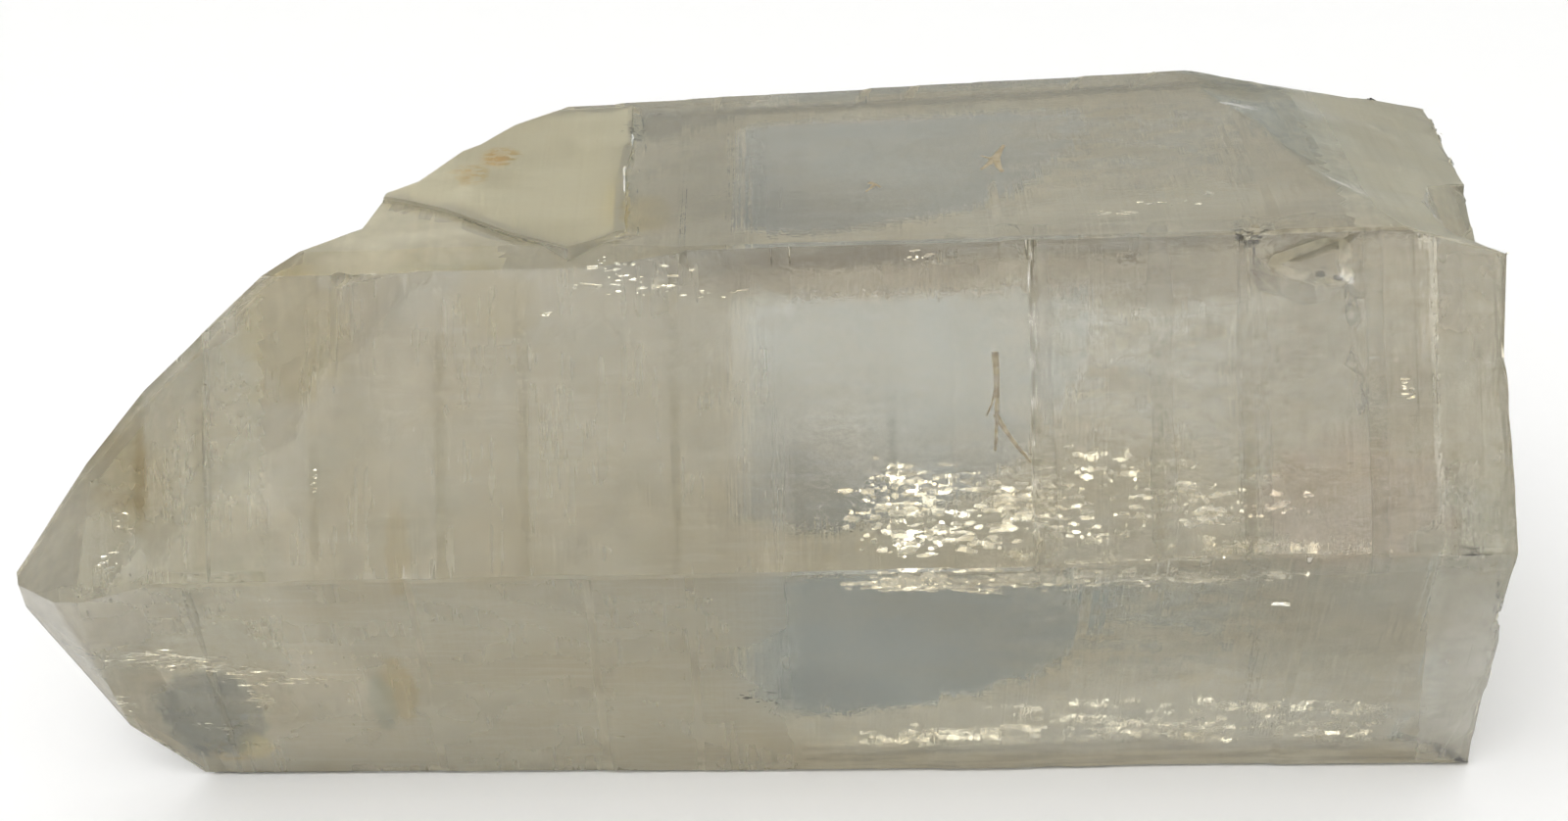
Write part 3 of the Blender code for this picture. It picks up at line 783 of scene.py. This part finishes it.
@dataclass
class CrystalBody(Piece):
    """The clear crystal itself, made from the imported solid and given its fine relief."""

    source: bpy.types.Object
    coarse_edge: float = 3.0
    fine_edge: float = 1.7
    crease: float = 9.0
    weld: float = 0.002
    flat: float = 0.15
    even: float = 0.2
    halvings: int = 7
    rest_room: tuple[float, float] = (0.15, 0.8)
    hillock_size: float = 5.0
    hillock_depth: float = 0.07
    parquet_size: float = 1.6
    parquet_depth: float = 0.10
    break_size: float = 2.2
    break_depth: float = 0.30
    riser_slope: float = 0.9
    skin: BVHTree | None = field(default=None, init=False)

    def build(self) -> None:
        """Builds the mesh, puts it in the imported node's place and keeps its skin for the inner pieces."""
        self._copy(self.source.data)
        self._refine()
        self._roughen()
        only(self.piece)
        bpy.ops.object.shade_smooth_by_angle(angle=math.radians(self.crease))
        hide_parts(NODE)
        self.skin = BVHTree.FromPolygons(
            [vertex.co / MM for vertex in self.piece.data.vertices],
            [tuple(polygon.vertices) for polygon in self.piece.data.polygons],
        )

    def depth(self, place: Vector) -> float:
        """How deep inside the crystal a place in mm lies, less than 0 outside it."""
        near, out, _, _ = self.skin.find_nearest(place)
        return (near - place).dot(out)

    def under_skin(self, place: Vector, depth: float) -> Vector:
        """The place at a depth in mm under the skin nearest to a place."""
        near, out, _, _ = self.skin.find_nearest(place)
        return near - out * depth

    def _refine(self) -> None:
        """Merges the loose triangles, then halves every long edge until all are short."""
        longest = self.fine_edge * MM
        bpy.ops.object.mode_set(mode="EDIT")
        bpy.ops.mesh.select_all(action="SELECT")
        bpy.ops.mesh.remove_doubles(threshold=self.weld * MM)
        bpy.ops.mesh.dissolve_limited(angle_limit=math.radians(self.flat))
        bpy.ops.mesh.quads_convert_to_tris(ngon_method="BEAUTY")
        bpy.ops.mesh.beautify_fill(angle_limit=math.radians(self.even))
        for halving in range(self.halvings, -1, -1):
            limit = longest * 2**halving
            if pick(self.piece, "edges", lambda edge: edge.calc_length() > limit):
                bpy.ops.mesh.subdivide(number_cuts=1)
            bpy.ops.mesh.select_all(action="SELECT")
            bpy.ops.mesh.quads_convert_to_tris(ngon_method="BEAUTY")
        bpy.ops.object.mode_set(mode="OBJECT")

    def _roughen(self) -> None:
        """Slopes the plate's riser and presses hillocks, parquet relief and grain into the faces."""

        def free(place: Vector, out: Vector) -> float:
            """Everywhere but at the face that it rests on."""
            return ramp(place.z, *self.rest_room)

        def parquet(place: Vector, out: Vector) -> float:
            """The low part of the lower back face."""
            low_back = ramp(out.dot(Face.LOWER_BACK.outward), 0.9, 0.97)
            return low_back * free(place, out) * ramp(-place.z, -11.0, -7.0)

        def broken(place: Vector, out: Vector) -> float:
            """The broken base."""
            return ramp(out.dot(BASE_LEAN), 0.6, 0.9) * free(place, out)

        def riser(place: Vector, out: Vector) -> float:
            """The right-hand riser of the raised plate."""
            over = ramp(place.dot(TOP_LEAN) - TOP_HEIGHT, -0.05, 0.25)
            return over * ramp(place.x, -10.5, -8.7) * ramp(-place.x, 6.0, 7.5)

        weigh(self.piece, "free", free)
        weigh(self.piece, "parquet", parquet)
        weigh(self.piece, "break", broken)
        weigh(self.piece, "riser", riser)
        slope = self.piece.modifiers.new("riser_slope", "DISPLACE")
        slope.direction = "X"
        slope.mid_level = 0.0
        slope.strength = -self.riser_slope * MM
        slope.vertex_group = "riser"
        relief(self.piece, "hillocks", "CLOUDS", self.hillock_size, self.hillock_depth, "free")
        relief(self.piece, "parquet_relief", "STUCCI", self.parquet_size, self.parquet_depth, "parquet")
        relief(self.piece, "break_grain", "CLOUDS", self.break_size, self.break_depth, "break")
        apply_all(self.piece)


# --------------------------------------------------------------------------- inside the crystal


@dataclass
class SunkenVeil(Piece):
    """A film of healed cracks that lies under some faces of the crystal."""

    body: CrystalBody
    holds: Callable[[Vector, Vector], bool]
    depth: float
    buckle: float = 0.1
    buckle_size: float = 4.0
    skin_room: float = 0.02
    furthest: float = 1.6

    def build(self) -> None:
        """Copies the faces that the veil lies under and sinks the copy into the crystal."""
        self._copy(self.body.piece.data)
        bpy.ops.object.mode_set(mode="EDIT")
        bpy.ops.mesh.select_mode(type="FACE")
        pick(
            self.piece,
            "faces",
            lambda face: not self.holds(face.calc_center_median() / MM, face.normal),
        )
        bpy.ops.mesh.delete(type="FACE")
        bpy.ops.mesh.select_all(action="SELECT")
        bpy.ops.mesh.delete_loose(use_faces=False)
        bpy.ops.mesh.select_mode(type="VERT")
        bpy.ops.object.mode_set(mode="OBJECT")
        starts = [vertex.co.copy() for vertex in self.piece.data.vertices]
        bpy.ops.object.mode_set(mode="EDIT")
        bpy.ops.mesh.select_all(action="SELECT")
        bpy.ops.transform.shrink_fatten(value=-self.depth * MM)
        bpy.ops.object.mode_set(mode="OBJECT")
        relief(self.piece, self.name + "_buckle", "CLOUDS", self.buckle_size, self.buckle)
        apply_all(self.piece)
        self._trim(starts)
        only(self.piece)
        bpy.ops.object.shade_smooth()

    def _trim(self, starts: list[Vector]) -> None:
        """Cuts away what reaches through the crystal's skin at its edges, or was moved too far.

        Args:
            starts: each point's place on the skin, in metres.
        """
        furthest = (self.depth + self.buckle) * self.furthest * MM

        def astray(vertex: bmesh.types.BMVert) -> bool:
            """Whether a point is outside the crystal or far from where it started."""
            moved = (vertex.co - starts[vertex.index]).length
            return moved > furthest or self.body.depth(vertex.co / MM) < self.skin_room

        only(self.piece)
        bpy.ops.object.mode_set(mode="EDIT")
        if pick(self.piece, "verts", astray):
            bpy.ops.mesh.delete(type="VERT")
        bpy.ops.object.mode_set(mode="OBJECT")


@dataclass(frozen=True)
class Swarm:
    """A swarm of fracture flakes: a slab in mm that they lie in, how many, and how they lean.

    Where sunk is more than 0, the flakes are set that deep in mm under the nearest skin.
    """

    low: Triple
    high: Triple
    count: int
    clusters: int = 14
    cluster_reach: Triple = (1.5, 0.5, 0.45)
    longest: float = 1.5
    lean: float = 35.0
    spread: float = 4.5
    sunk: float = 0.0

    @property
    def middle(self) -> Vector:
        """The middle of the slab."""
        return (Vector(self.low) + Vector(self.high)) / 2


INNER_SWARMS = (
    Swarm((8.0, -18.0, 20.9), (22.0, -7.0, 21.6), 520, 18, (1.5, 0.9, 0.2), 1.2),
    Swarm((21.0, -16.0, 20.9), (34.0, -6.0, 21.6), 220, 16, (1.1, 0.8, 0.2), 0.9),
    Swarm((8.0, 8.0, 1.0), (17.0, 10.0, 2.4), 150, 5, (1.8, 0.4, 0.3), 1.2),
    Swarm((16.0, 7.5, 0.8), (46.0, 10.5, 5.4), 520, 30, (1.4, 0.5, 0.4), 1.1),
)
SKIN_SWARMS = (
    Swarm((-45.6, -17.5, 8.0), (-44.0, -15.0, 9.6), 34, 3, (0.4, 0.3, 0.5), 0.9, 6.6, 2.5, 0.3),
    Swarm((-48.0, -18.0, 12.0), (-45.0, -16.0, 16.0), 34, 4, (0.5, 0.3, 0.5), 0.8, 6.6, 2.5, 0.3),
    Swarm((-44.0, -19.0, 12.6), (-37.0, -17.5, 14.6), 90, 6, (1.2, 0.4, 0.3), 1.3, 6.6, 2.5, 0.3),
    Swarm((-36.5, -18.5, 10.6), (-31.0, -17.0, 13.0), 46, 4, (1.0, 0.4, 0.3), 1.2, 6.6, 2.5, 0.3),
    Swarm((-35.5, -17.0, 8.5), (-33.5, -16.0, 10.0), 30, 2, (0.5, 0.4, 0.4), 0.9, 6.6, 2.5, 0.3),
    Swarm((-40.6, -17.5, 4.5), (-37.6, -15.0, 8.5), 20, 3, (0.7, 0.4, 0.4), 0.9, 6.6, 3.0, 0.3),
    Swarm((-44.0, -21.5, 22.5), (-42.0, -21.0, 26.5), 24, 4, (0.4, 0.3, 0.6), 0.8, 30.0, 9.0, 0.3),
    Swarm((-11.0, -16.0, 38.0), (-3.0, -14.0, 41.4), 70, 9, (0.9, 0.3, 0.3), 0.9, 35.0, 8.0, 0.3),
    Swarm((-14.5, -16.0, 37.7), (-14.1, -15.8, 37.9), 8, 1, (0.1, 0.1, 0.1), 1.0, 35.0, 4.0, 0.3),
    Swarm((9.0, -15.5, 40.8), (12.0, -14.5, 41.6), 14, 3, (0.6, 0.2, 0.2), 0.8, 35.0, 6.0, 0.3),
    Swarm((-29.6, -20.6, 27.8), (-29.2, -20.4, 29.2), 10, 2, (0.1, 0.1, 0.5), 0.7, 35.0, 5.0, 0.3),
    Swarm((-6.5, -22.5, 20.6), (-2.5, -21.5, 22.0), 30, 4, (0.9, 0.3, 0.4), 0.8, 30.0, 9.0, 0.3),
    Swarm((21.0, -8.2, 42.3), (31.0, -11.8, 42.4), 24, 5, (0.8, 0.2, 0.1), 1.0, 62.0, 8.0, 0.2),
    Swarm((40.7, -21.3, 33.0), (41.6, -21.0, 34.8), 16, 5, (0.1, 0.1, 0.2), 0.8, 35.0, 8.0, 0.2),
    Swarm((29.5, -23.6, 19.35), (37.0, -23.5, 19.55), 40, 16, (0.5, 0.1, 0.02), 1.4, 6.6, 2.0, 0.15),
)


@dataclass
class FractureFlakes(Piece):
    """Small thin flakes of inner fracture that sparkle in rows along the crystal."""

    body: CrystalBody
    swarms: tuple[Swarm, ...]
    seed: int = 7
    flake_ratio: float = 0.38
    flake_thickness: float = 0.012
    flake_radius: float = 0.54
    rim: float = 0.12
    shortest: float = 0.16
    rarity: float = 2.2
    skin_room: float = 0.2
    reach: float = 0.3
    tries: int = 30
    wobble: tuple[float, float] = (6.0, 5.0)
    breadth: tuple[float, float] = (0.45, 0.35)

    def build(self) -> None:
        """Builds all flakes of the swarms and joins them."""
        pattern = self._pattern()
        chance = random.Random(self.seed)
        copies = [pattern]
        for swarm in self.swarms:
            nests = [self._within(swarm, chance) for _ in range(swarm.clusters)]
            copies += [self._lay(pattern, swarm, nests, chance) for _ in range(swarm.count)]
        bpy.ops.object.select_all(action="DESELECT")
        for copy in copies[1:]:
            copy.select_set(True)
        bpy.context.view_layer.objects.active = copies[-1]
        bpy.ops.object.join()
        self.piece = bpy.context.view_layer.objects.active
        bpy.data.objects.remove(pattern)
        self.piece.name = self.name
        settle(self.piece)

    def _pattern(self) -> bpy.types.Object:
        """One flake of unit length, its rim pulled in and its middle a little domed."""
        bpy.ops.object.select_all(action="DESELECT")
        bpy.ops.mesh.primitive_cylinder_add(
            vertices=8,
            radius=self.flake_radius,
            depth=self.flake_thickness,
            rotation=(0.0, 0.0, math.pi / 8),
        )
        flake = bpy.context.object
        flake.name = self.name + "_pattern"
        bpy.ops.object.mode_set(mode="EDIT")
        pick(flake, "faces", lambda face: face.normal.z > 0.9)
        bpy.ops.mesh.inset(thickness=self.rim)
        bpy.ops.transform.translate(value=(0.0, 0.0, self.flake_thickness))
        settle(flake)
        bpy.ops.object.mode_set(mode="EDIT")
        bpy.ops.mesh.select_all(action="SELECT")
        bpy.ops.transform.resize(value=(1.0, self.flake_ratio, 1.0))
        bpy.ops.object.mode_set(mode="OBJECT")
        return flake

    def _within(self, swarm: Swarm, chance: random.Random) -> Vector:
        """A place anywhere in the swarm's box."""
        return Vector(chance.uniform(low, high) for low, high in zip(swarm.low, swarm.high))

    def _lay(
        self,
        pattern: bpy.types.Object,
        swarm: Swarm,
        nests: list[Vector],
        chance: random.Random,
    ) -> bpy.types.Object:
        """Copies the flake to a place near one of its swarm's clusters.

        Args:
            pattern: the flake that is copied.
            swarm: where it may lie and how.
            nests: the middles of the swarm's clusters.
            chance: the seeded random numbers.

        Returns:
            The placed copy, with a mesh of its own.
        """
        flake = bpy.data.objects.new(self.name + "_flake", pattern.data.copy())
        bpy.context.scene.collection.objects.link(flake)
        share = self.shortest + (1.0 - self.shortest) * chance.random() ** self.rarity
        length = swarm.longest * share
        place = swarm.middle
        for _ in range(self.tries):
            drift = Vector(chance.gauss(0.0, reach) for reach in swarm.cluster_reach)
            tried = chance.choice(nests) + drift
            if swarm.sunk > 0.0:
                tried = self.body.under_skin(tried, swarm.sunk + length * self.reach)
            if self.body.depth(tried) > self.skin_room + length * self.reach:
                place = tried
                break
        lean = math.radians(90.0 - swarm.lean + chance.gauss(0.0, swarm.spread))
        roll, swing = (math.radians(chance.gauss(0.0, most)) for most in self.wobble)
        turn = Euler((lean, roll, swing)).to_matrix().to_4x4()
        width = (length * self.breadth[0] + self.breadth[1]) * chance.uniform(0.6, 1.6)
        size = Matrix.Diagonal((length, width, length, 1.0))
        flake.matrix_world = Matrix.Translation(place * MM) @ turn @ size @ Matrix.Scale(MM, 4)
        return flake


@dataclass(frozen=True)
class Arm:
    """One needle: where it starts and ends in mm, its thickness there and how far it bows."""

    start: Triple
    end: Triple
    thick: float = 0.20
    thin: float = 0.07
    bow: float = 0.15


@dataclass
class NeedleSprig(Piece):
    """A few mineral needles that grew together just under the crystal's skin."""

    arms: tuple[Arm, ...]
    sides: int = 7
    steps: int = 6

    def build(self) -> None:
        """Builds each needle and joins them."""
        needles = [self._needle(arm) for arm in self.arms]
        bpy.ops.object.select_all(action="DESELECT")
        for needle in needles:
            needle.select_set(True)
        bpy.context.view_layer.objects.active = needles[0]
        if len(needles) > 1:
            bpy.ops.object.join()
        self.piece = bpy.context.view_layer.objects.active
        self.piece.name = self.name

    def _needle(self, arm: Arm) -> bpy.types.Object:
        """One tapered needle, drawn out in steps and bowed a little.

        Args:
            arm: its ends, thickness and bow.

        Returns:
            The needle's object.
        """
        start, end = Vector(arm.start) * MM, Vector(arm.end) * MM
        along = end - start
        side = along.cross(Vector((0.0, 1.0, 0.0))).normalized()
        bpy.ops.object.select_all(action="DESELECT")
        bpy.ops.mesh.primitive_circle_add(
            vertices=self.sides,
            radius=arm.thick * MM / 2,
            fill_type="NGON",
            location=start,
            rotation=along.to_track_quat("Z", "Y").to_euler(),
        )
        needle = bpy.context.object
        settle(needle)
        bpy.ops.object.mode_set(mode="EDIT")
        bpy.ops.mesh.select_all(action="SELECT")
        bpy.ops.mesh.flip_normals()
        bpy.ops.mesh.select_mode(type="FACE")
        narrower = (arm.thin / arm.thick) ** (1.0 / self.steps)
        for step in range(self.steps):
            swing = math.cos(math.pi * (step + 0.5) / self.steps) * arm.bow * MM * math.pi / self.steps
            move = along / self.steps + side * swing
            bpy.ops.mesh.extrude_region_move(TRANSFORM_OT_translate={"value": move})
            bpy.ops.transform.resize(value=(narrower, narrower, narrower))
        bpy.ops.mesh.select_all(action="SELECT")
        bpy.ops.mesh.normals_make_consistent(inside=False)
        bpy.ops.mesh.select_mode(type="VERT")
        bpy.ops.object.mode_set(mode="OBJECT")
        bpy.ops.object.shade_smooth()
        return needle


def sprigs() -> list[tuple[NeedleSprig, IronNeedle]]:
    """The needles under the broad front face and the small stars under the top face."""
    straw = IronNeedle("straw_needle", (0.95, 0.78, 0.46), (0.74, 0.56, 0.28))
    return [
        (
            NeedleSprig(
                "needle_sprig",
                (
                    Arm((14.8, -17.9, 35.4), (14.7, -20.6, 29.6), 0.50, 0.20, 0.12),
                    Arm((14.75, -19.6, 31.8), (17.0, -20.9, 28.9), 0.42, 0.18, -0.15),
                    Arm((14.9, -18.6, 33.8), (14.2, -19.5, 31.6), 0.30, 0.10, 0.1),
                ),
            ),
            IronNeedle(),
        ),
        (
            NeedleSprig(
                "star_sprig",
                (
                    Arm((15.8, -1.6, 41.7), (16.6, 0.9, 41.8), 0.80, 0.26, 0.1),
                    Arm((15.9, -1.4, 41.7), (14.8, -3.0, 41.6), 0.60, 0.20, 0.1),
                    Arm((15.9, -1.5, 41.7), (16.2, -3.6, 41.6), 0.70, 0.30, -0.1),
                    Arm((15.8, -1.3, 41.7), (15.0, -0.6, 41.6), 0.36, 0.12, 0.1),
                ),
            ),
            straw,
        ),
        (
            NeedleSprig(
                "crumb_sprig",
                (
                    Arm((7.2, -4.6, 41.6), (7.9, -5.4, 41.5), 0.40, 0.16, 0.1),
                    Arm((7.5, -4.9, 41.6), (6.9, -6.0, 41.5), 0.30, 0.12, 0.1),
                ),
            ),
            straw,
        ),
    ]


def at_the_back(place: Vector, out: Vector) -> bool:
    """Whether this place is on an etched face: an end, the lower back or the underside."""
    ends = out.y > 0.35 and out.x < -0.1
    under = out.z < -0.3 and out.y > -0.3
    ridge = out.y > 0.7 and place.z < 26.0
    return ends or under or ridge


def on_the_break(place: Vector, out: Vector) -> bool:
    """Whether this place is on the sloping break at the top of the base."""
    return out.dot(BREAK_SLOPE) > 0.88 and place.x > 38.0 and place.z > 34.0


def on_the_front(place: Vector, out: Vector) -> bool:
    """Whether this place is on the broad upper front face, right of the glassy part behind it."""
    return out.dot(Face.UPPER_FRONT.outward) > 0.93 and 12.0 < place.x < 45.0 and place.y < -5.0


def on_the_plate(place: Vector, out: Vector) -> bool:
    """Whether this place is on the raised plate of the top face."""
    over = place.dot(TOP_LEAN) - TOP_HEIGHT
    plate = out.z > 0.3 and over > 0.0 and -17.5 < place.x < -7.0
    layers = out.z > 0.4 and out.y > -0.6 and place.x < -17.0 and place.z > 35.0
    return plate or layers


def on_the_chip(place: Vector, out: Vector) -> bool:
    """Whether this place is on the chip under the top ridge."""
    near = 31.0 < place.x < 39.5 and place.z > 39.2 and place.y < -14.5
    broken = out.dot(Face.UPPER_FRONT.outward) < 0.987 and out.z < 0.95
    return near and broken


def by_the_base(place: Vector, out: Vector) -> bool:
    """Whether this place is on a front face close to the broken base."""
    front = max(out.dot(Face.UPPER_FRONT.outward), out.dot(Face.LOWER_FRONT.outward)) > 0.9
    return front and place.y < -5.0 and place.x > 43.0 + max(19.0 - place.z, 0.0) * 0.12


def near_the_tip(place: Vector, out: Vector) -> bool:
    """Whether this place is on a front face close to the point, clear of the slanting back face."""
    front = max(out.dot(Face.UPPER_FRONT.outward), out.dot(Face.LOWER_FRONT.outward)) > 0.9
    return front and place.x < -33.0 and place.dot(TIP_SLANT) < 34.0 and place.z > 3.0


def veils(body: CrystalBody) -> list[tuple[SunkenVeil, HealedVeil]]:
    """The films under the crystal's faces, each with its finish."""
    return [
        (
            SunkenVeil("back_film", body, at_the_back, 0.12),
            HealedVeil(
                "back_film_milk_and_painted_shading",
                thinnest=0.6,
                thickest=1.0,
                window=WINDOW,
                stains_and_painted_shading=BACK_PAINTED_SHADING,
                blocks=Patch((27.0, 12.0, 4.5), (24.0, 12.0, 6.5), edge=0.3),
            ),
        ),
        (
            SunkenVeil("plate_crust", body, on_the_plate, 0.06, 0.03, 1.5),
            HealedVeil(
                "plate_crust_milk", hue(238, 233, 212), hue(226, 218, 188), 0.6, 0.95, stains_and_painted_shading=PLATE_STAINS
            ),
        ),
        (
            SunkenVeil("chip_frost", body, on_the_chip, 0.06, 0.03, 1.5),
            HealedVeil(
                "chip_frost_milk", hue(240, 238, 226), hue(206, 202, 186), 0.3, 0.95, (0.6, 0.9, 0.9)
            ),
        ),
        (
            SunkenVeil("break_frost", body, on_the_break, 0.12, 0.05, 1.5),
            HealedVeil("break_frost_milk", hue(240, 238, 226), hue(226, 222, 204), 0.35, 0.9),
        ),
        (
            SunkenVeil("front_veil", body, on_the_front, 4.0, 1.2, 9.0),
            HealedVeil(
                "front_veil_milk", hue(226, 226, 218), hue(196, 190, 172), 0.0, 0.26, (0.14, 0.5, 0.5)
            ),
        ),
        (
            SunkenVeil("base_haze", body, by_the_base, 0.5, 0.2),
            HealedVeil("base_haze_milk", hue(244, 242, 232), hue(236, 232, 216), 0.2, 0.5),
        ),
        (
            SunkenVeil("tip_haze", body, near_the_tip, 1.0, 0.4),
            HealedVeil("tip_haze_milk", hue(240, 236, 214), hue(230, 220, 180), 0.05, 0.4),
        ),
    ]


def sparkles(body: CrystalBody) -> list[tuple[FractureFlakes, FractureMirror]]:
    """The fracture flakes deep inside and the thinner splinters under the skin, with their finish."""
    return [
        (FractureFlakes("fracture_flakes", body, INNER_SWARMS), FractureMirror()),
        (
            FractureFlakes("skin_splinters", body, SKIN_SWARMS, seed=11, flake_ratio=0.16),
            FractureMirror("splinter_mirror", dull=(0.80, 0.76, 0.64)),
        ),
    ]


# --------------------------------------------------------------------------- studio


@dataclass(frozen=True)
class Softbox:
    """A rectangular soft lamp: its place and size in metres and its power in watts."""

    name: str
    place: Triple
    size: tuple[float, float]
    power: float
    tint: Colour = (1.0, 0.985, 0.96)

    def hang(self) -> None:
        """Hangs the lamp so that it points at the crystal."""
        lamp = bpy.data.lights.new(self.name, "AREA")
        lamp.shape = "RECTANGLE"
        lamp.size, lamp.size_y = self.size
        lamp.energy = self.power
        lamp.color = self.tint
        holder = bpy.data.objects.new(self.name, lamp)
        holder.location = self.place
        holder.rotation_euler = (-Vector(self.place)).to_track_quat("-Z", "Y").to_euler()
        bpy.context.scene.collection.objects.link(holder)


@dataclass
class Studio:
    """A pale floor, soft light from all round and the camera."""

    aim: Triple = (1.1, 0.17, 22.3)
    distance: float = 231.0
    elevation: float = 27.0
    roll: float = 1.2
    lens: float = 74.25
    floor_size: float = 4.0
    low_wall: Colour = (0.38, 0.425, 0.42)
    high_wall: Colour = (0.78, 0.77, 0.73)
    ceiling: Colour = (0.90, 0.89, 0.87)
    wall_heights: tuple[float, float] = (0.24, 0.44)
    lamps: tuple[Softbox, ...] = (
        Softbox("key_softbox", (-0.12, -0.50, 0.62), (0.75, 0.50), 1.9),
        Softbox("spark_lamp", (-0.10, -0.52, 0.64), (0.20, 0.20), 0.9),
    )
    exposure: float = 0.1
    sampling: tuple[tuple[str, float | bool], ...] = (
        ("sample_clamp_indirect", 6.0),
        ("use_denoising", True),
        ("use_adaptive_sampling", True),
        ("adaptive_threshold", 0.15),
        ("adaptive_min_samples", 12),
        ("max_bounces", 9),
        ("transmission_bounces", 9),
        ("transparent_max_bounces", 9),
        ("glossy_bounces", 4),
        ("diffuse_bounces", 2),
    )

    def build(self) -> None:
        """Builds floor, light and camera, and sets how light is followed through the crystal."""
        self._floor()
        self._sky()
        for lamp in self.lamps:
            lamp.hang()
        self._camera()
        scene = bpy.context.scene
        scene.view_settings.view_transform = "Standard"
        scene.view_settings.exposure = self.exposure
        for name, setting in self.sampling:
            setattr(scene.cycles, name, setting)

    def _floor(self) -> None:
        """A large plain floor."""
        bpy.ops.object.select_all(action="DESELECT")
        bpy.ops.mesh.primitive_grid_add(x_subdivisions=8, y_subdivisions=8, size=self.floor_size)
        floor = bpy.context.object
        floor.name = "studio_floor"
        floor.data.materials.append(PaleFloor().build())

    def _sky(self) -> None:
        """Soft light from above, dimmer and cooler low behind."""
        world = bpy.data.worlds.new("soft_studio")
        world.use_nodes = True
        bpy.context.scene.world = world
        tree = world.node_tree
        tree.nodes.clear()
        output = tree.nodes.new("ShaderNodeOutputWorld")
        light = tree.nodes.new("ShaderNodeBackground")
        coords = tree.nodes.new("ShaderNodeTexCoord")
        parts = tree.nodes.new("ShaderNodeSeparateXYZ")
        stops = tree.nodes.new("ShaderNodeValToRGB")
        tree.links.new(coords.outputs["Generated"], parts.inputs[0])
        tree.links.new(parts.outputs["Z"], stops.inputs[0])
        tree.links.new(stops.outputs[0], light.inputs[0])
        tree.links.new(light.outputs[0], output.inputs[0])
        shades = stops.color_ramp.elements
        shades[0].position, shades[0].color = 0.0, (*self.low_wall, 1.0)
        shades[1].position, shades[1].color = 1.0, (*self.ceiling, 1.0)
        for height, shade in zip(self.wall_heights, (self.low_wall, self.high_wall)):
            shades.new(height).color = (*shade, 1.0)
        light.inputs[1].default_value = 1.0

    def _camera(self) -> None:
        """The camera, level with the front of the crystal and tipped down."""
        lens = bpy.data.cameras.new("studio_camera")
        lens.lens = self.lens
        lens.sensor_width = 36.0
        lens.clip_start = 0.01
        lens.clip_end = 20.0
        camera = bpy.data.objects.new("studio_camera", lens)
        tip = math.radians(self.elevation)
        back = Vector((0.0, -math.cos(tip), math.sin(tip)))
        camera.location = (Vector(self.aim) + back * self.distance) * MM
        turned = (-back).to_track_quat("-Z", "Y").to_matrix().to_4x4()
        camera.rotation_euler = (turned @ Matrix.Rotation(math.radians(-self.roll), 4, "Z")).to_euler()
        bpy.context.scene.collection.objects.link(camera)
        bpy.context.scene.camera = camera


# --------------------------------------------------------------------------- all together


def main() -> None:
    """Builds the crystal, what is in it and the studio, and logs each piece."""
    logging.basicConfig(level=logging.INFO, format="%(name)s: %(message)s")
    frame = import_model()
    Studio().build()

    body = CrystalBody("clear_crystal", frame["nodes"][NODE])
    for piece, finish in ((body, ClearQuartz()), *veils(body), *sparkles(body), *sprigs()):
        piece.build()
        piece.dress(finish)
        LOG.info("%s: %d faces", piece.name, len(piece.piece.data.polygons))


if __name__ == "__main__":
    main()
